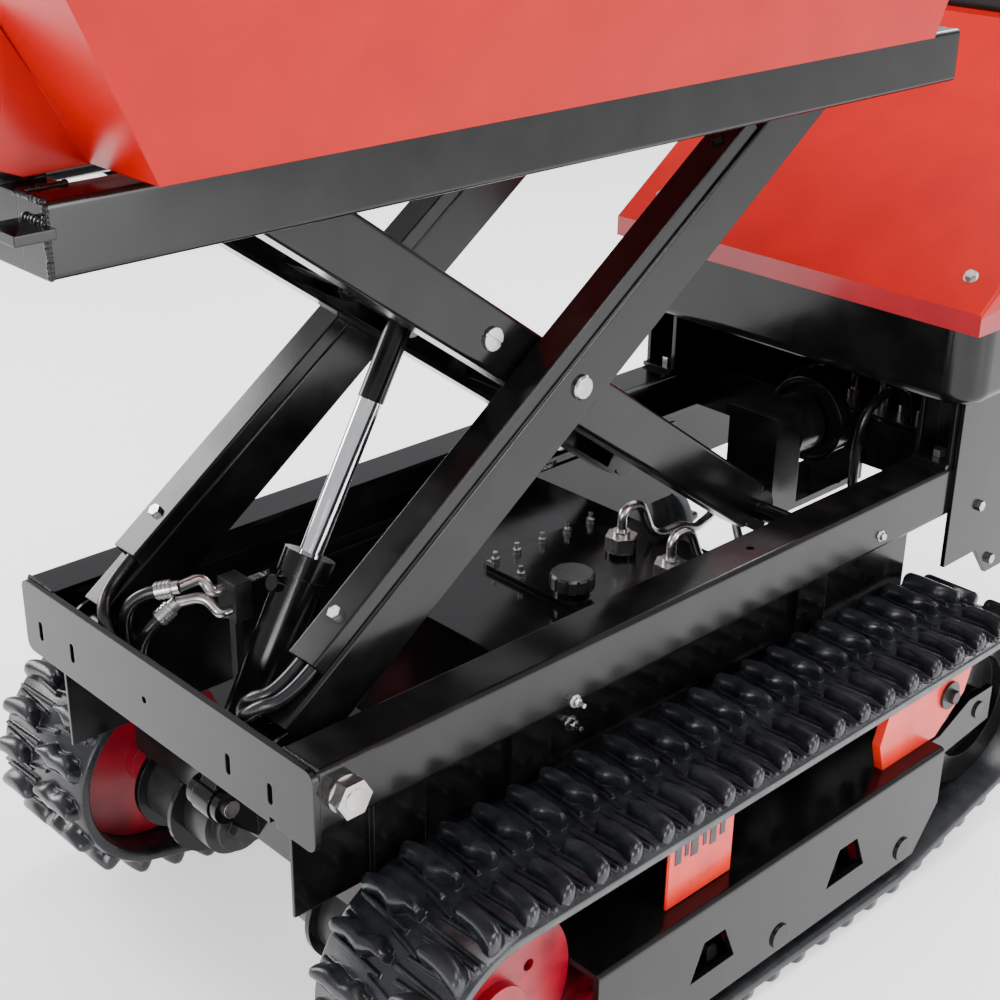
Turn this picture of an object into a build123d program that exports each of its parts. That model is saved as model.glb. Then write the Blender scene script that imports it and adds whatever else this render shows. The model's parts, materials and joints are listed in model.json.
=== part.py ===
"""Hydraulic tracked power wheelbarrow with a scissor-lift tipping skip.

Working frame while modelling: +X to the machine's left-hand track as seen from the front, +Y to the
rear, +Z up, with y = 0 on the front plate and z = 0 on the ground. Every part is moved along Y when it
is written, so that the origin ends up under the middle of the whole machine.
The scissor stands part-way up, as when the skip is being raised to tip.
"""
from build123d import *
from math import atan2, cos, degrees, hypot, pi, radians, sin, tan
import os

os.makedirs("parts", exist_ok=True)

# ---- driving dimensions (millimetres) ----
origin_y = 637.0            # the machine's middle, measured back from the front plate
seat_gap = 0.3              # gap between neighbours that only rest on each other
running_gap = 0.05          # radial clearance of a shaft in its bore

# chassis
deck_height = 490.0         # top of the chassis rails above the ground
frame_width = 530.0
frame_length = 1113.0
rail_height = 70.0
rail_flange = 56.0
rail_wall = 6.0
front_plate_height = 90.0
front_plate_wall = 8.0
front_beam_y = 100.0
front_beam_z = (242.0, 285.0)

# scissor lift
arm_half = 483.0            # pivot centre to either end pivot
arm_angle = 35.7            # degrees above level as modelled
pivot_setback = 36.0        # lower front pivot behind the front plate
arm_depth = 62.0
arm_width = 44.0
arm_wall = 4.0
arm_outer_x = 182.0         # outer face of the outer arms
inner_arm_x = 134.0         # outer face of the inner arms
inner_arm_width = 40.0
inner_arm_wall = 5.0
arm_end_radius = 27.0
pivot_radius = 12.0         # M24 pivot bolts
centre_pin_radius = 12.5
cover_height = 18.0         # hose cover on the front face of each outer arm
cover_wall = 3.0

# upper frame
upper_rail_x = 226.0        # outer face
upper_rail_height = 60.0
upper_rail_flange = 40.0
upper_rail_wall = 5.0
upper_rail_front = -190.0
upper_rail_rear = 1002.0
bearer_thickness = 8.0

# rollers of the scissor
roller_slack = 0.5
lower_roller_width = 30.0
upper_roller_width = 24.0
journal_radius = 10.0

# skip
skip_floor_half = 270.0
skip_top_half = 345.0
skip_floor_front = -120.0
skip_floor_rear = 880.0
skip_top_front = -320.0
skip_top_rear = 925.0
skip_depth = 360.0
skip_wall = 4.0
skip_hinge_y = -185.0
skip_hinge_rise = 52.0      # hinge above the line of the upper pivots

# lift cylinder
lift_base = (65.0, 300.0)   # base pivot (y, z)
lift_pin_offset = 103.0     # top pin forward of the scissor's centre, along the inner arms
lift_barrel_length = 286.0
lift_barrel_radius = 26.5
lift_rod_radius = 13.0
lift_chrome_length = 178.0
lift_pin_radius = 10.0

# tip cylinder, placed against the line of the upper pivots
tip_base = (-125.0, 0.0)
tip_pin = (360.0, 10.0)
tip_barrel_length = 350.0
tip_barrel_radius = 21.0
tip_rod_radius = 11.0

# running gear
belt_centre_x = 313.0
belt_width = 180.0
belt_thickness = 15.0
lug_height = 18.0
lug_length = 26.0
lug_pitch = 60.0
guide_height = 18.0
guide_offset = 22.0
guide_width = 14.0
wheel_height = 188.0        # drive wheel and idler centres above the ground
wheel_radius = 110.0
drive_wheel_y = 145.0
idler_y = 1011.0
track_roller_radius = 40.0
track_roller_places = (320.0, 570.0, 820.0)
track_frame_top = 193.0
track_frame_wall = 8.0
track_frame_front = 255.0
track_frame_rear = 892.0
track_frame_half = 87.0
roller_half = 74.0
axle_radius = 10.0
idler_axle_radius = 12.0
idler_half = 50.0
motor_shaft_radius = 15.0
motor_neck_radius = 29.8
hanger_x = ((128.0, 135.0), (197.0, 205.0))

# oil tank
tank_front = 364.0
tank_rear = 740.0
tank_top = 418.0
tank_bottom = 230.0
tank_cover_thickness = 8.0
filler_place = (95.0, 517.0)
filler_neck_radius = 22.0
filler_cap_radius = 27.0
pipe_radius = 6.0
hose_radius = 7.0
pump_x = 48.0
pump_z = 500.0
union_places = ((59.0, 641.0), (150.0, 629.0))
cover_stud_places = ((-28.0, 508.0), (-28.0, 545.0), (-28.0, 590.0), (-28.0, 635.0), (-28.0, 678.0), (20.0, 505.0))

# engine end
tray_front = 1016.0
tray_rear = 1470.0
tray_half = 295.0
tray_bottom = 583.0
tray_top = 688.0
tray_wall = 4.0
cowl_half = 302.0
cowl_slope = 36.0           # degrees, the bonnet's front face
cowl_lip = 28.0
cowl_top = 1000.0
panel_x = 265.0
panel_wall = 6.0

# ---- derived places ----
rail_mid = deck_height - rail_height / 2
front_pivot = (pivot_setback, rail_mid)
run = arm_half * cos(radians(arm_angle))
rise = arm_half * sin(radians(arm_angle))
centre_pivot = (pivot_setback + run, rail_mid + rise)
rear_roller = (pivot_setback + 2 * run, rail_mid)
upper_line = rail_mid + 2 * rise
belt_ground = lug_height + belt_thickness
track_roller_z = belt_ground + track_roller_radius + seat_gap
rail_inner_x = frame_width / 2 - rail_flange
skip_floor = upper_line + upper_rail_height / 2 + bearer_thickness + seat_gap


# ---- shape helpers ----
def block(x, y, z):
    """A box from its two limits along each axis."""
    size = Box(x[1] - x[0], y[1] - y[0], z[1] - z[0])
    return Pos((x[0] + x[1]) / 2, (y[0] + y[1]) / 2, (z[0] + z[1]) / 2) * size


def bar_x(radius, x, y, z):
    """A round bar lying along X."""
    return Pos((x[0] + x[1]) / 2, y, z) * Rot(0, 90, 0) * Cylinder(radius, x[1] - x[0])


def bar_y(radius, x, y, z):
    return Pos(x, (y[0] + y[1]) / 2, z) * Rot(90, 0, 0) * Cylinder(radius, y[1] - y[0])


def bar_z(radius, x, y, z):
    return Pos(x, y, (z[0] + z[1]) / 2) * Cylinder(radius, z[1] - z[0])


def side_plane(x):
    """The plane of constant x whose own axes run along +Y and +Z."""
    return Plane(origin=(x, 0, 0), x_dir=(0, 1, 0), z_dir=(1, 0, 0))


def plate_x(outline, x):
    """A flat plate between two x values, from an outline of (y, z) points or a sketch."""
    sketch = outline if isinstance(outline, Sketch) else make_face(Polyline(*outline, close=True))
    return extrude(side_plane(x[0]) * sketch, x[1] - x[0], dir=(1, 0, 0))


def hexagon_x(across_flats, x, y, z):
    """A hexagon head or nut whose axis lies along X."""
    sketch = Pos(y, z) * RegularPolygon(across_flats / 2, 6, major_radius=False)
    return extrude(side_plane(x[0]) * sketch, x[1] - x[0])


def hexagon_z(across_flats, x, y, z):
    sketch = Pos(x, y) * RegularPolygon(across_flats / 2, 6, major_radius=False)
    return extrude(Plane.XY.offset(z[0]) * sketch, z[1] - z[0])


def mirrored(shape):
    return mirror(shape, about=Plane.YZ)


def pair(shape):
    """The same piece on both sides of the machine."""
    return [shape, mirrored(shape)]


def on_arm(shape, angle):
    """Places a piece drawn about the scissor's centre, with +Y along the arm."""
    return Pos(0, *centre_pivot) * Rot(angle, 0, 0) * shape


def along(start, end, shape):
    """Places a piece drawn along +Y from the origin between two (y, z) points."""
    angle = degrees(atan2(end[1] - start[1], end[0] - start[0]))
    return Pos(0, *start) * Rot(angle, 0, 0) * shape


def tube(points, radius, bend_share=0.45):
    """A pipe or hose: straight runs joined by arcs as large as the runs allow."""
    spots = [Vector(*p) for p in points]
    runs = [(b - a).length for a, b in zip(spots, spots[1:])]
    bends = []
    for i in range(1, len(spots) - 1):
        turn = (spots[i] - spots[i - 1]).get_angle(spots[i + 1] - spots[i])
        bends.append(bend_share * min(runs[i - 1], runs[i]) / tan(radians(turn / 2)))
    path = FilletPolyline(*spots, radius=bends)
    start = Plane(origin=path @ 0, z_dir=path % 0)
    solid = sweep(start * Circle(radius), path=path)
    ideal = pi * radius ** 2 * path.length
    smallest = min(bends)
    print(f"  tube d {2 * radius:.0f} length {path.length:.0f} smallest bend {smallest:.0f} "
          f"volume share {solid.volume / ideal:.4f}")
    return solid


def save(name, *shapes):
    """Writes one part, shifted so that the origin is under the machine's middle."""
    solids = []
    for shape in shapes:
        group = shape if isinstance(shape, (list, tuple)) else [shape]
        for item in group:
            solids.extend(item.solids())
    moved = [solid.moved(Location((0, -origin_y, 0))) for solid in solids]
    export_step(moved[0] if len(moved) == 1 else Compound(moved), f"parts/{name}.step")


# ---- chassis ----
def front_plate():
    """The front plate with rounded corners, its slots and a drain notch."""
    low = deck_height - front_plate_height
    half = frame_width / 2
    face = Pos(0, (low + deck_height) / 2) * RectangleRounded(frame_width, front_plate_height, 12)
    front = Plane(origin=(0, front_plate_wall, 0), x_dir=(1, 0, 0), z_dir=(0, -1, 0))
    plate = extrude(front * face, front_plate_wall)
    for x in (-0.435 * frame_width, -0.31 * frame_width, 0.24 * frame_width, 0.37 * frame_width):
        slot = Pos(x, deck_height - 55) * Rot(0, 0, 90) * SlotOverall(24, 8)
        plate -= extrude(front * slot, front_plate_wall)
    plate -= extrude(front * Pos(-21, deck_height - 49) * Circle(4), front_plate_wall)
    plate -= extrude(front * Pos(half - 66, low) * Rectangle(11, 16), front_plate_wall)
    return plate


def rail():
    """One side rail: a channel open towards the middle, in which the lower roller runs."""
    half = frame_width / 2
    ends = (front_plate_wall, frame_length)
    body = block((half - rail_flange, half), ends, (deck_height - rail_height, deck_height))
    body = fillet(body.edges().filter_by(Axis.Y).group_by(Axis.X)[-1], rail_wall)
    body -= block((half - rail_flange, half - rail_wall), ends,
                  (deck_height - rail_height + rail_wall, deck_height - rail_wall))
    body -= bar_x(pivot_radius, (half - 20, half), *front_pivot)
    body -= bar_z(5, half - 28, 0.6 * frame_length, (deck_height - 10, deck_height))
    return body


def crossbeams():
    """Three beams under the chassis, each with two risers to the rails, and the rear cross plate."""
    riser_x = (rail_inner_x + 2, rail_inner_x + 10)
    rail_low = deck_height - rail_height
    front = block((-riser_x[1], riser_x[1]), (front_beam_y, front_beam_y + 85), front_beam_z)
    for side in (1, -1):
        limits = sorted((side * riser_x[0], side * riser_x[1]))
        front += block(limits, (front_beam_y + 8, front_beam_y + 77), (front_beam_z[1], rail_low))
        for x in hanger_x:
            limits = sorted((side * x[0], side * x[1]))
            hanger = bar_x(62, limits, drive_wheel_y, wheel_height)
            hanger += block(limits, (drive_wheel_y - 42, front_beam_y + 85), (wheel_height, front_beam_z[0]))
            hanger -= block(limits, (60, 230), (front_beam_z[0], front_beam_z[1] + 10))
            front += hanger - bar_x(motor_neck_radius + running_gap, limits, drive_wheel_y, wheel_height)
        limits = sorted((side * 17.0, side * 27.0))
        lug = bar_x(20, limits, *lift_base)
        lug += plate_x([(front_beam_y, front_beam_z[0] + 5), (front_beam_y, front_beam_z[1] - 3),
                        (lift_base[0] + 5, lift_base[1] + 18), (lift_base[0] - 18, lift_base[1] - 6)], limits)
        front += lug - bar_x(lift_pin_radius, limits, *lift_base)
    beams = [front]
    for y in ((300, 360), (800, 860)):
        inner_wall = belt_centre_x - track_frame_half
        beam = block((-inner_wall, inner_wall), y, (110, 160))
        for side in (1, -1):
            limits = sorted((side * riser_x[0], side * riser_x[1]))
            beam += block(limits, y, (160, rail_low))
        beams.append(beam)
    rear = block((-frame_width / 2, frame_width / 2), (frame_length, frame_length + 8),
                 (deck_height - rail_height, deck_height))
    return beams + [rear]


def side_plate():
    """The plate that closes the chassis below each rail, against the risers."""
    x = (rail_inner_x - 2, rail_inner_x + 2)
    body = block(x, (12, frame_length - 62), (front_beam_z[1] + 5, deck_height - rail_height - 8.5))
    return body


def rear_panels():
    """Side plates and a back plate behind the chassis, which carry the engine tray."""
    front = frame_length - 60
    rear = tray_rear - 30
    outline = [(front, 345), (front + 77, 345), (front + 112, 300), (rear - 40, 300), (rear, 340),
               (rear, tray_bottom), (front, tray_bottom)]
    side = plate_x(outline, (panel_x, panel_x + panel_wall))
    back = block((-panel_x, panel_x), (tray_rear - 36, tray_rear - 30), (330, tray_bottom))
    shelf = block((-panel_x, panel_x), (frame_length + 8, tray_rear - 36), (430, 436))
    return side + mirrored(side) + back + shelf


def tray_bracket(x):
    """A folded stand bolted to the rail, which carries the front of the engine tray."""
    foot = block((x - 27, x + 27), (1036, 1096), (deck_height, deck_height + 6))
    wall_a = block((x - 27, x - 21), (1044, 1090), (deck_height + 6, tray_bottom))
    wall_b = block((x + 21, x + 27), (1044, 1090), (deck_height + 6, tray_bottom))
    back = block((x - 27, x + 27), (1084, 1090), (deck_height + 6, tray_bottom))
    return foot + wall_a + wall_b + back


# ---- running gear ----
def belt_hull(extra):
    """The side outline of the belt, drawn round the wheels and the end rollers."""
    rounds = [(drive_wheel_y, wheel_height, wheel_radius), (idler_y, wheel_height, wheel_radius)]
    for y in (track_roller_places[0], track_roller_places[-1]):
        rounds.append((y, belt_ground + track_roller_radius, track_roller_radius))
    edges = []
    for y, z, radius in rounds:
        edges.extend((Pos(y, z) * Circle(radius + extra)).edges())
    return make_hull(edges)


def track(side):
    """A rubber belt with cross lugs outside and two rows of guide lugs inside."""
    x = (belt_centre_x - belt_width / 2, belt_centre_x + belt_width / 2)
    belt = plate_x(belt_hull(belt_thickness) - belt_hull(0), x)
    outer = belt_hull(belt_thickness).faces()[0].outer_wire()
    inner = belt_hull(0).faces()[0].outer_wire()
    count = round(outer.length / lug_pitch)
    pieces = []
    for i in range(count):
        for wire, reach, length, places in (
                (outer, lug_height, lug_length, ((belt_centre_x, belt_width),)),
                (inner, -guide_height, 20.0, ((belt_centre_x - guide_offset, guide_width),
                                              (belt_centre_x + guide_offset, guide_width)))):
            spot = wire @ (i / count)
            heading = wire % (i / count)
            angle = degrees(atan2(heading.Y, heading.X))
            middle = Vector(drive_wheel_y / 2 + idler_y / 2, wheel_height)
            left = Vector(-heading.Y, heading.X)
            outward = 1 if left.dot(Vector(spot.X, spot.Y) - middle) > 0 else -1
            shift = outward * (reach / 2 - (0.5 if reach > 0 else -0.5))
            for lug_x, width in places:
                lug = Box(width, length, abs(reach) + 1)
                pieces.append(Pos(lug_x, spot.X, spot.Y) * Rot(angle, 0, 0) * Pos(0, 0, shift) * lug)
    belt = belt + pieces
    return belt if side > 0 else mirrored(belt)


def track_frame():
    """An inverted channel inside the belt with three roller pins."""
    x = (belt_centre_x - track_frame_half, belt_centre_x + track_frame_half)
    ends = (track_frame_front, track_frame_rear)
    low = 52.0
    body = block(x, ends, (low, track_frame_top))
    body = fillet(body.edges().filter_by(Axis.Y).group_by(Axis.Z)[-1], 6)
    body -= block((x[0] + track_frame_wall, x[1] - track_frame_wall), ends,
                  (low, track_frame_top - track_frame_wall))
    for y in (445, 695):
        window = [(y - 38, 95), (y + 38, 95), (y + 18, 142), (y - 18, 142)]
        body -= plate_x(window, (x[1] - track_frame_wall, x[1]))
    for y in track_roller_places:
        body += bar_x(axle_radius, x, y, track_roller_z)
        body += bar_x(16, (x[1], x[1] + 3), y, track_roller_z)
    front, rear = ends
    body -= plate_x([(front - 1, low - 1), (front + 46, low - 1), (front - 1, 112)], x)
    body -= plate_x([(rear + 1, low - 1), (rear - 46, low - 1), (rear + 1, 112)], x)
    return body


def tensioner():
    """The idler's fork with its adjusting screw, carried under the track frame's top plate."""
    seat = track_frame_top - track_frame_wall
    outline = [(855, 150), (925, 150), (1040, 163), (1040, 213), (985, 213), (922, seat), (855, seat)]
    fork = plate_x(outline, (belt_centre_x + idler_half + 3, belt_centre_x + idler_half + 11))
    far = plate_x(outline, (belt_centre_x - idler_half - 11, belt_centre_x - idler_half - 3))
    bridge = block((belt_centre_x - idler_half - 3, belt_centre_x + idler_half + 3), (855, 865), (150, seat))
    axle = bar_x(idler_axle_radius, (belt_centre_x - idler_half - 14, belt_centre_x + idler_half + 14),
                 idler_y, wheel_height)
    screw = bar_y(11, belt_centre_x, (760, 855), 167)
    nut = Pos(belt_centre_x, 790, 167) * Rot(90, 0, 0) * extrude(RegularPolygon(18, 6), 12)
    return fork + far + bridge + axle + screw + nut


def track_guide():
    """The slide that carries the upper run of the belt in front of the idler."""
    top = wheel_height + wheel_radius - seat_gap
    outline = [(790, track_frame_top), (905, track_frame_top), (962, 236), (984, top), (800, top),
               (778, 232)]
    x = (belt_centre_x + idler_half + 1, belt_centre_x + idler_half + 13)
    body = plate_x(outline, x)
    washer = bar_x(19, (x[1], x[1] + 4), 925, 247)
    bolt = hexagon_x(16, (x[1] + 4, x[1] + 12), 925, 247)
    return body + washer + bolt


def drive_wheel():
    """The toothed drive wheel with its two side discs and the motor shaft."""
    root = wheel_radius - 17
    tip = wheel_radius - 1.5
    wheel = Pos(drive_wheel_y, wheel_height) * Circle(root)
    teeth = 12
    for i in range(teeth):
        tooth = make_face(Polyline((root - 3, -13), (tip, -5), (tip, 5), (root - 3, 13), close=True))
        wheel += Pos(drive_wheel_y, wheel_height) * Rot(0, 0, 360 * i / teeth) * tooth
    body = extrude(side_plane(belt_centre_x - 11) * wheel, 22)
    for offset in (-43, 35):
        disc = Pos(drive_wheel_y, wheel_height) * Circle(wheel_radius - 0.6)
        body += extrude(side_plane(belt_centre_x + offset) * disc, 8)
    body += bar_x(34, (belt_centre_x - 60, belt_centre_x + 56), drive_wheel_y, wheel_height)
    body += bar_x(motor_shaft_radius, (190, belt_centre_x), drive_wheel_y, wheel_height)
    for i in range(6):
        angle = radians(60 * i + 30)
        body -= bar_x(7, (belt_centre_x + 30, belt_centre_x + 45), drive_wheel_y + 58 * cos(angle),
                      wheel_height + 58 * sin(angle))
    return body


def travel_motor():
    """Gear hub, motor body and hexagon end plug, bolted to the two hangers of the front beam."""
    hub = bar_x(50, (135, 197), drive_wheel_y, wheel_height)
    hub += bar_x(motor_neck_radius, (197, 205), drive_wheel_y, wheel_height)
    hub -= bar_x(motor_shaft_radius + running_gap, (188, 205), drive_wheel_y, wheel_height)
    neck = bar_x(motor_neck_radius, (128, 135), drive_wheel_y, wheel_height)
    body = bar_x(44, (84, 128), drive_wheel_y, wheel_height)
    body += bar_x(34, (70, 84), drive_wheel_y, wheel_height)
    body += hexagon_x(36, (56, 70), drive_wheel_y, wheel_height)
    return hub + neck + body


def idler():
    """The rear wheel: three rims with two grooves that clear the guide lugs."""
    rim = wheel_radius - 0.6
    groove = wheel_radius - guide_height - 3
    body = bar_x(groove, (belt_centre_x - idler_half, belt_centre_x + idler_half), idler_y, wheel_height)
    for x in ((-idler_half, -guide_offset - 10), (-10, 10), (guide_offset + 10, idler_half)):
        body += bar_x(rim, (belt_centre_x + x[0], belt_centre_x + x[1]), idler_y, wheel_height)
    body -= bar_x(idler_axle_radius + running_gap,
                  (belt_centre_x - idler_half, belt_centre_x + idler_half), idler_y, wheel_height)
    for x in ((-idler_half, -idler_half + 14), (idler_half - 14, idler_half)):
        limits = (belt_centre_x + x[0], belt_centre_x + x[1])
        body -= bar_x(72, limits, idler_y, wheel_height) - bar_x(26, limits, idler_y, wheel_height)
    return body


def track_roller(y):
    """A bottom roller with two grooves that clear the guide lugs."""
    z = track_roller_z
    body = bar_x(track_roller_radius - guide_height - 3,
                 (belt_centre_x - roller_half, belt_centre_x + roller_half), y, z)
    for x in ((-roller_half, -guide_offset - 10), (-10, 10), (guide_offset + 10, roller_half)):
        body += bar_x(track_roller_radius, (belt_centre_x + x[0], belt_centre_x + x[1]), y, z)
    return body - bar_x(axle_radius + running_gap, (belt_centre_x - roller_half, belt_centre_x + roller_half),
                        y, z)


# ---- scissor ----
def outer_arm():
    """A folded channel, open at the back, with a bush at each pivot and the upper roller's journal."""
    x = (arm_outer_x - arm_width, arm_outer_x)
    half = arm_depth / 2
    ends = (-arm_half, arm_half)
    body = block(x, (ends[0] + 15, ends[1] - 15), (-half, half))
    body = fillet(body.edges().filter_by(Axis.Y).group_by(Axis.Z)[-1], arm_wall)
    for y in ends:
        body += bar_x(arm_end_radius, x, y, 0)
    body -= block((x[0] + arm_wall, x[1] - arm_wall), (ends[0] - 40, ends[1] + 40), (-half, half - arm_wall))
    for y in (ends[0], 0, ends[1]):
        body += bar_x(17, x, y, 0)
    body += bar_x(journal_radius, (arm_outer_x, arm_outer_x + upper_roller_width + 12), ends[1], 0)
    body -= bar_x(pivot_radius + running_gap, x, ends[0], 0)
    return body - bar_x(centre_pin_radius, x, 0, 0)


def hose_cover():
    """A folded strip along the front face of the outer arm, under which the hoses run."""
    x = (arm_outer_x - arm_width, arm_outer_x - 4)
    ends = (-arm_half + 78, arm_half - 130)
    low = arm_depth / 2
    body = block(x, ends, (low, low + cover_height))
    body = fillet(body.edges().filter_by(Axis.Y).group_by(Axis.Z)[-1], 2)
    body -= block((x[0] + cover_wall, x[1] - cover_wall), ends, (low, low + cover_height - cover_wall))
    for y in (ends[0] + 55, ends[1] - 40):
        middle = (x[0] + x[1]) / 2
        body += bar_z(4, middle, y, (low, low + cover_height))
        body += hexagon_z(13, middle, y, (low + cover_height, low + cover_height + 5.5))
    return body


def inner_arm():
    """A channel open inwards, with pivot bosses and the stub axle of the lower roller."""
    x = (inner_arm_x - inner_arm_width, inner_arm_x)
    half = arm_depth / 2
    ends = (-arm_half, arm_half)
    body = block(x, (ends[0] + 15, ends[1] - 15), (-half, half))
    body = fillet(body.edges().filter_by(Axis.Y).group_by(Axis.X)[-1], inner_arm_wall)
    for y in ends:
        body += bar_x(arm_end_radius, x, y, 0)
    body -= block((x[0], x[1] - inner_arm_wall), (ends[0] + 32, ends[1] - 32),
                  (-half + inner_arm_wall, half - inner_arm_wall))
    body += bar_x(19, x, 0, 0)
    body += bar_x(17, x, -lift_pin_offset, 0)
    journal_start = rail_inner_x + 6
    body += bar_x(pivot_radius, (inner_arm_x, journal_start), ends[1], 0)
    body += bar_x(journal_radius, (journal_start, journal_start + lower_roller_width + 3), ends[1], 0)
    body -= bar_x(pivot_radius + running_gap, x, ends[0], 0)
    body -= bar_x(centre_pin_radius + running_gap, x, 0, 0)
    return body - bar_x(lift_pin_radius, x, -lift_pin_offset, 0)


def inner_crossbar():
    """The square tube that ties the inner arms together, and the two halves of the cylinder's top pin."""
    reach = inner_arm_x - inner_arm_width
    tie = block((-reach, reach), (120, 160), (-20, 20))
    tie -= block((-reach, reach), (124, 156), (-16, 16))
    upper_tie = block((-reach, reach), (-lift_pin_offset - 100, -lift_pin_offset - 70), (-15, 15))
    head = inner_arm_x + 3.3
    pin = bar_x(lift_pin_radius, (15.3, head), -lift_pin_offset, 0)
    pin += bar_x(12.5, (inner_arm_x, head), -lift_pin_offset, 0)
    pin -= block((head - 1.5, head), (-lift_pin_offset - 13, -lift_pin_offset + 13), (-1.5, 1.5))
    lug_x = (15.3, 25.3)
    lug = block(lug_x, (-lift_pin_offset - 70, -lift_pin_offset + 16), (-18, 18))
    lug -= bar_x(lift_pin_radius, lug_x, -lift_pin_offset, 0)
    return [tie, upper_tie + lug + mirrored(lug) + pin + mirrored(pin)]


def centre_pin():
    """The scissor's centre pin, with a domed head on the outer arm."""
    inside = inner_arm_x - inner_arm_width - 4
    pin = bar_x(centre_pin_radius, (inside, arm_outer_x), 0, 0)
    head = bar_x(13.5, (arm_outer_x, arm_outer_x + 5), 0, 0)
    head = chamfer(head.edges().filter_by(GeomType.CIRCLE).sort_by(Axis.X)[-1], 2)
    return pin + head + bar_x(16, (inside - 4, inside), 0, 0)


def lower_roller():
    radius = rail_height / 2 - rail_wall - roller_slack
    start = rail_inner_x + 6.5
    x = (start, start + lower_roller_width)
    body = bar_x(radius, x, *rear_roller) - bar_x(journal_radius + running_gap, x, *rear_roller)
    return body


def upper_roller():
    radius = upper_rail_height / 2 - upper_rail_wall - roller_slack
    start = arm_outer_x + 8
    x = (start, start + upper_roller_width)
    place = (rear_roller[0], upper_line)
    return bar_x(radius, x, *place) - bar_x(journal_radius + running_gap, x, *place)


# ---- lift cylinder ----
def lift_top():
    """The cylinder's upper pin in the machine's own axes."""
    reach = arm_angle
    return (centre_pivot[0] - lift_pin_offset * cos(radians(reach)),
            centre_pivot[1] + lift_pin_offset * sin(radians(reach)))


def lift_barrel():
    top = lift_top()
    body = bar_y(lift_barrel_radius, 0, (24, lift_barrel_length), 0)
    body += bar_y(lift_barrel_radius + 2.5, 0, (lift_barrel_length - 26, lift_barrel_length), 0)
    eye = bar_x(22, (-15, 15), 0, 0) + block((-13, 13), (0, 26), (-18, 18))
    body += eye - bar_x(lift_pin_radius + running_gap, (-15, 15), 0, 0)
    body -= bar_y(lift_rod_radius + running_gap, 0, (40, lift_barrel_length), 0)
    for y in (60, lift_barrel_length - 40):
        body += bar_z(9, 0, y, (lift_barrel_radius - 4, lift_barrel_radius + 12))
        body -= bar_y(lift_rod_radius + running_gap, 0, (y - 12, y + 12), 0)
    return along(lift_base, top, body)


def lift_rod():
    """The chrome rod with its black upper length and plain end between the lugs."""
    top = lift_top()
    length = hypot(top[0] - lift_base[0], top[1] - lift_base[1])
    chrome_end = lift_barrel_length + lift_chrome_length
    body = bar_y(lift_rod_radius, 0, (175, chrome_end), 0)
    body += bar_y(14.5, 0, (chrome_end, length - 14), 0)
    body += bar_x(21, (-14, 14), length, 0)
    return along(lift_base, top, body)


# ---- upper frame ----
def upper_rail():
    x = (upper_rail_x - upper_rail_flange, upper_rail_x)
    z = (upper_line - upper_rail_height / 2, upper_line + upper_rail_height / 2)
    ends = (upper_rail_front, upper_rail_rear)
    body = block(x, ends, z)
    body = fillet(body.edges().filter_by(Axis.Y).group_by(Axis.X)[-1], upper_rail_wall)
    body -= block((x[0], x[1] - upper_rail_wall), (ends[0] + 40, ends[1]),
                  (z[0] + upper_rail_wall, z[1] - upper_rail_wall))
    pin = (pivot_setback, upper_line)
    # the upper front pivot bolt, welded into the rail and carrying the inner arm
    inside = inner_arm_x - inner_arm_width - 6
    body += bar_x(pivot_radius, (inside, upper_rail_x), *pin)
    body += bar_x(20, (inner_arm_x + 3, upper_rail_x - upper_rail_wall), *pin)
    return body + bar_x(17, (inside - 3, inside), *pin)


def upper_crossbars():
    """The front crossbar with the skip's hinge lugs and the cylinder bracket, and two flat bearers."""
    inside = upper_rail_x - upper_rail_flange
    front = upper_rail_front
    low = upper_line - upper_rail_height / 2
    high = upper_line + upper_rail_height / 2
    bar = block((-inside, inside), (front, front + 40), (low, high))
    for side in (1, -1):
        limits = sorted((side * 150.0, side * 160.0))
        lug = block(limits, (front - 14, front + 40), (high, upper_line + skip_hinge_rise + 6))
        lug += bar_x(18, limits, skip_hinge_y, upper_line + skip_hinge_rise)
        lug -= bar_x(10 + running_gap, limits, skip_hinge_y, upper_line + skip_hinge_rise)
        bar += lug
        outer = sorted((side * 196.0, side * 240.0))
        bar += block(outer, (front - 34, front), (upper_line + 6, upper_line + 14))
        ear = sorted((side * 16.0, side * 24.0))
        plate = block(ear, (front + 40, tip_base[0] + 14), (upper_line - 16, upper_line + 16))
        bar += plate - bar_x(9 + running_gap, ear, tip_base[0], upper_line + tip_base[1])
    bearers = []
    for side in (1, -1):
        limits = sorted((side * 140.0, side * upper_rail_x))
        bearers.append(block(limits, (250, 310), (high, high + bearer_thickness)))
    bearers.append(block((-upper_rail_x, upper_rail_x), (730, 790), (high, high + bearer_thickness)))
    return [bar] + bearers


# ---- skip ----
def skip_shell(inset, low, high):
    floor = Plane.XY.offset(low)
    rim = Plane.XY.offset(high)
    floor_face = Pos(0, (skip_floor_front + skip_floor_rear) / 2) * Rectangle(
        2 * (skip_floor_half - inset), skip_floor_rear - skip_floor_front - 2 * inset)
    rim_face = Pos(0, (skip_top_front + skip_top_rear) / 2) * Rectangle(
        2 * (skip_top_half - inset), skip_top_rear - skip_top_front - 2 * inset)
    return loft([floor * floor_face, rim * rim_face])


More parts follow.
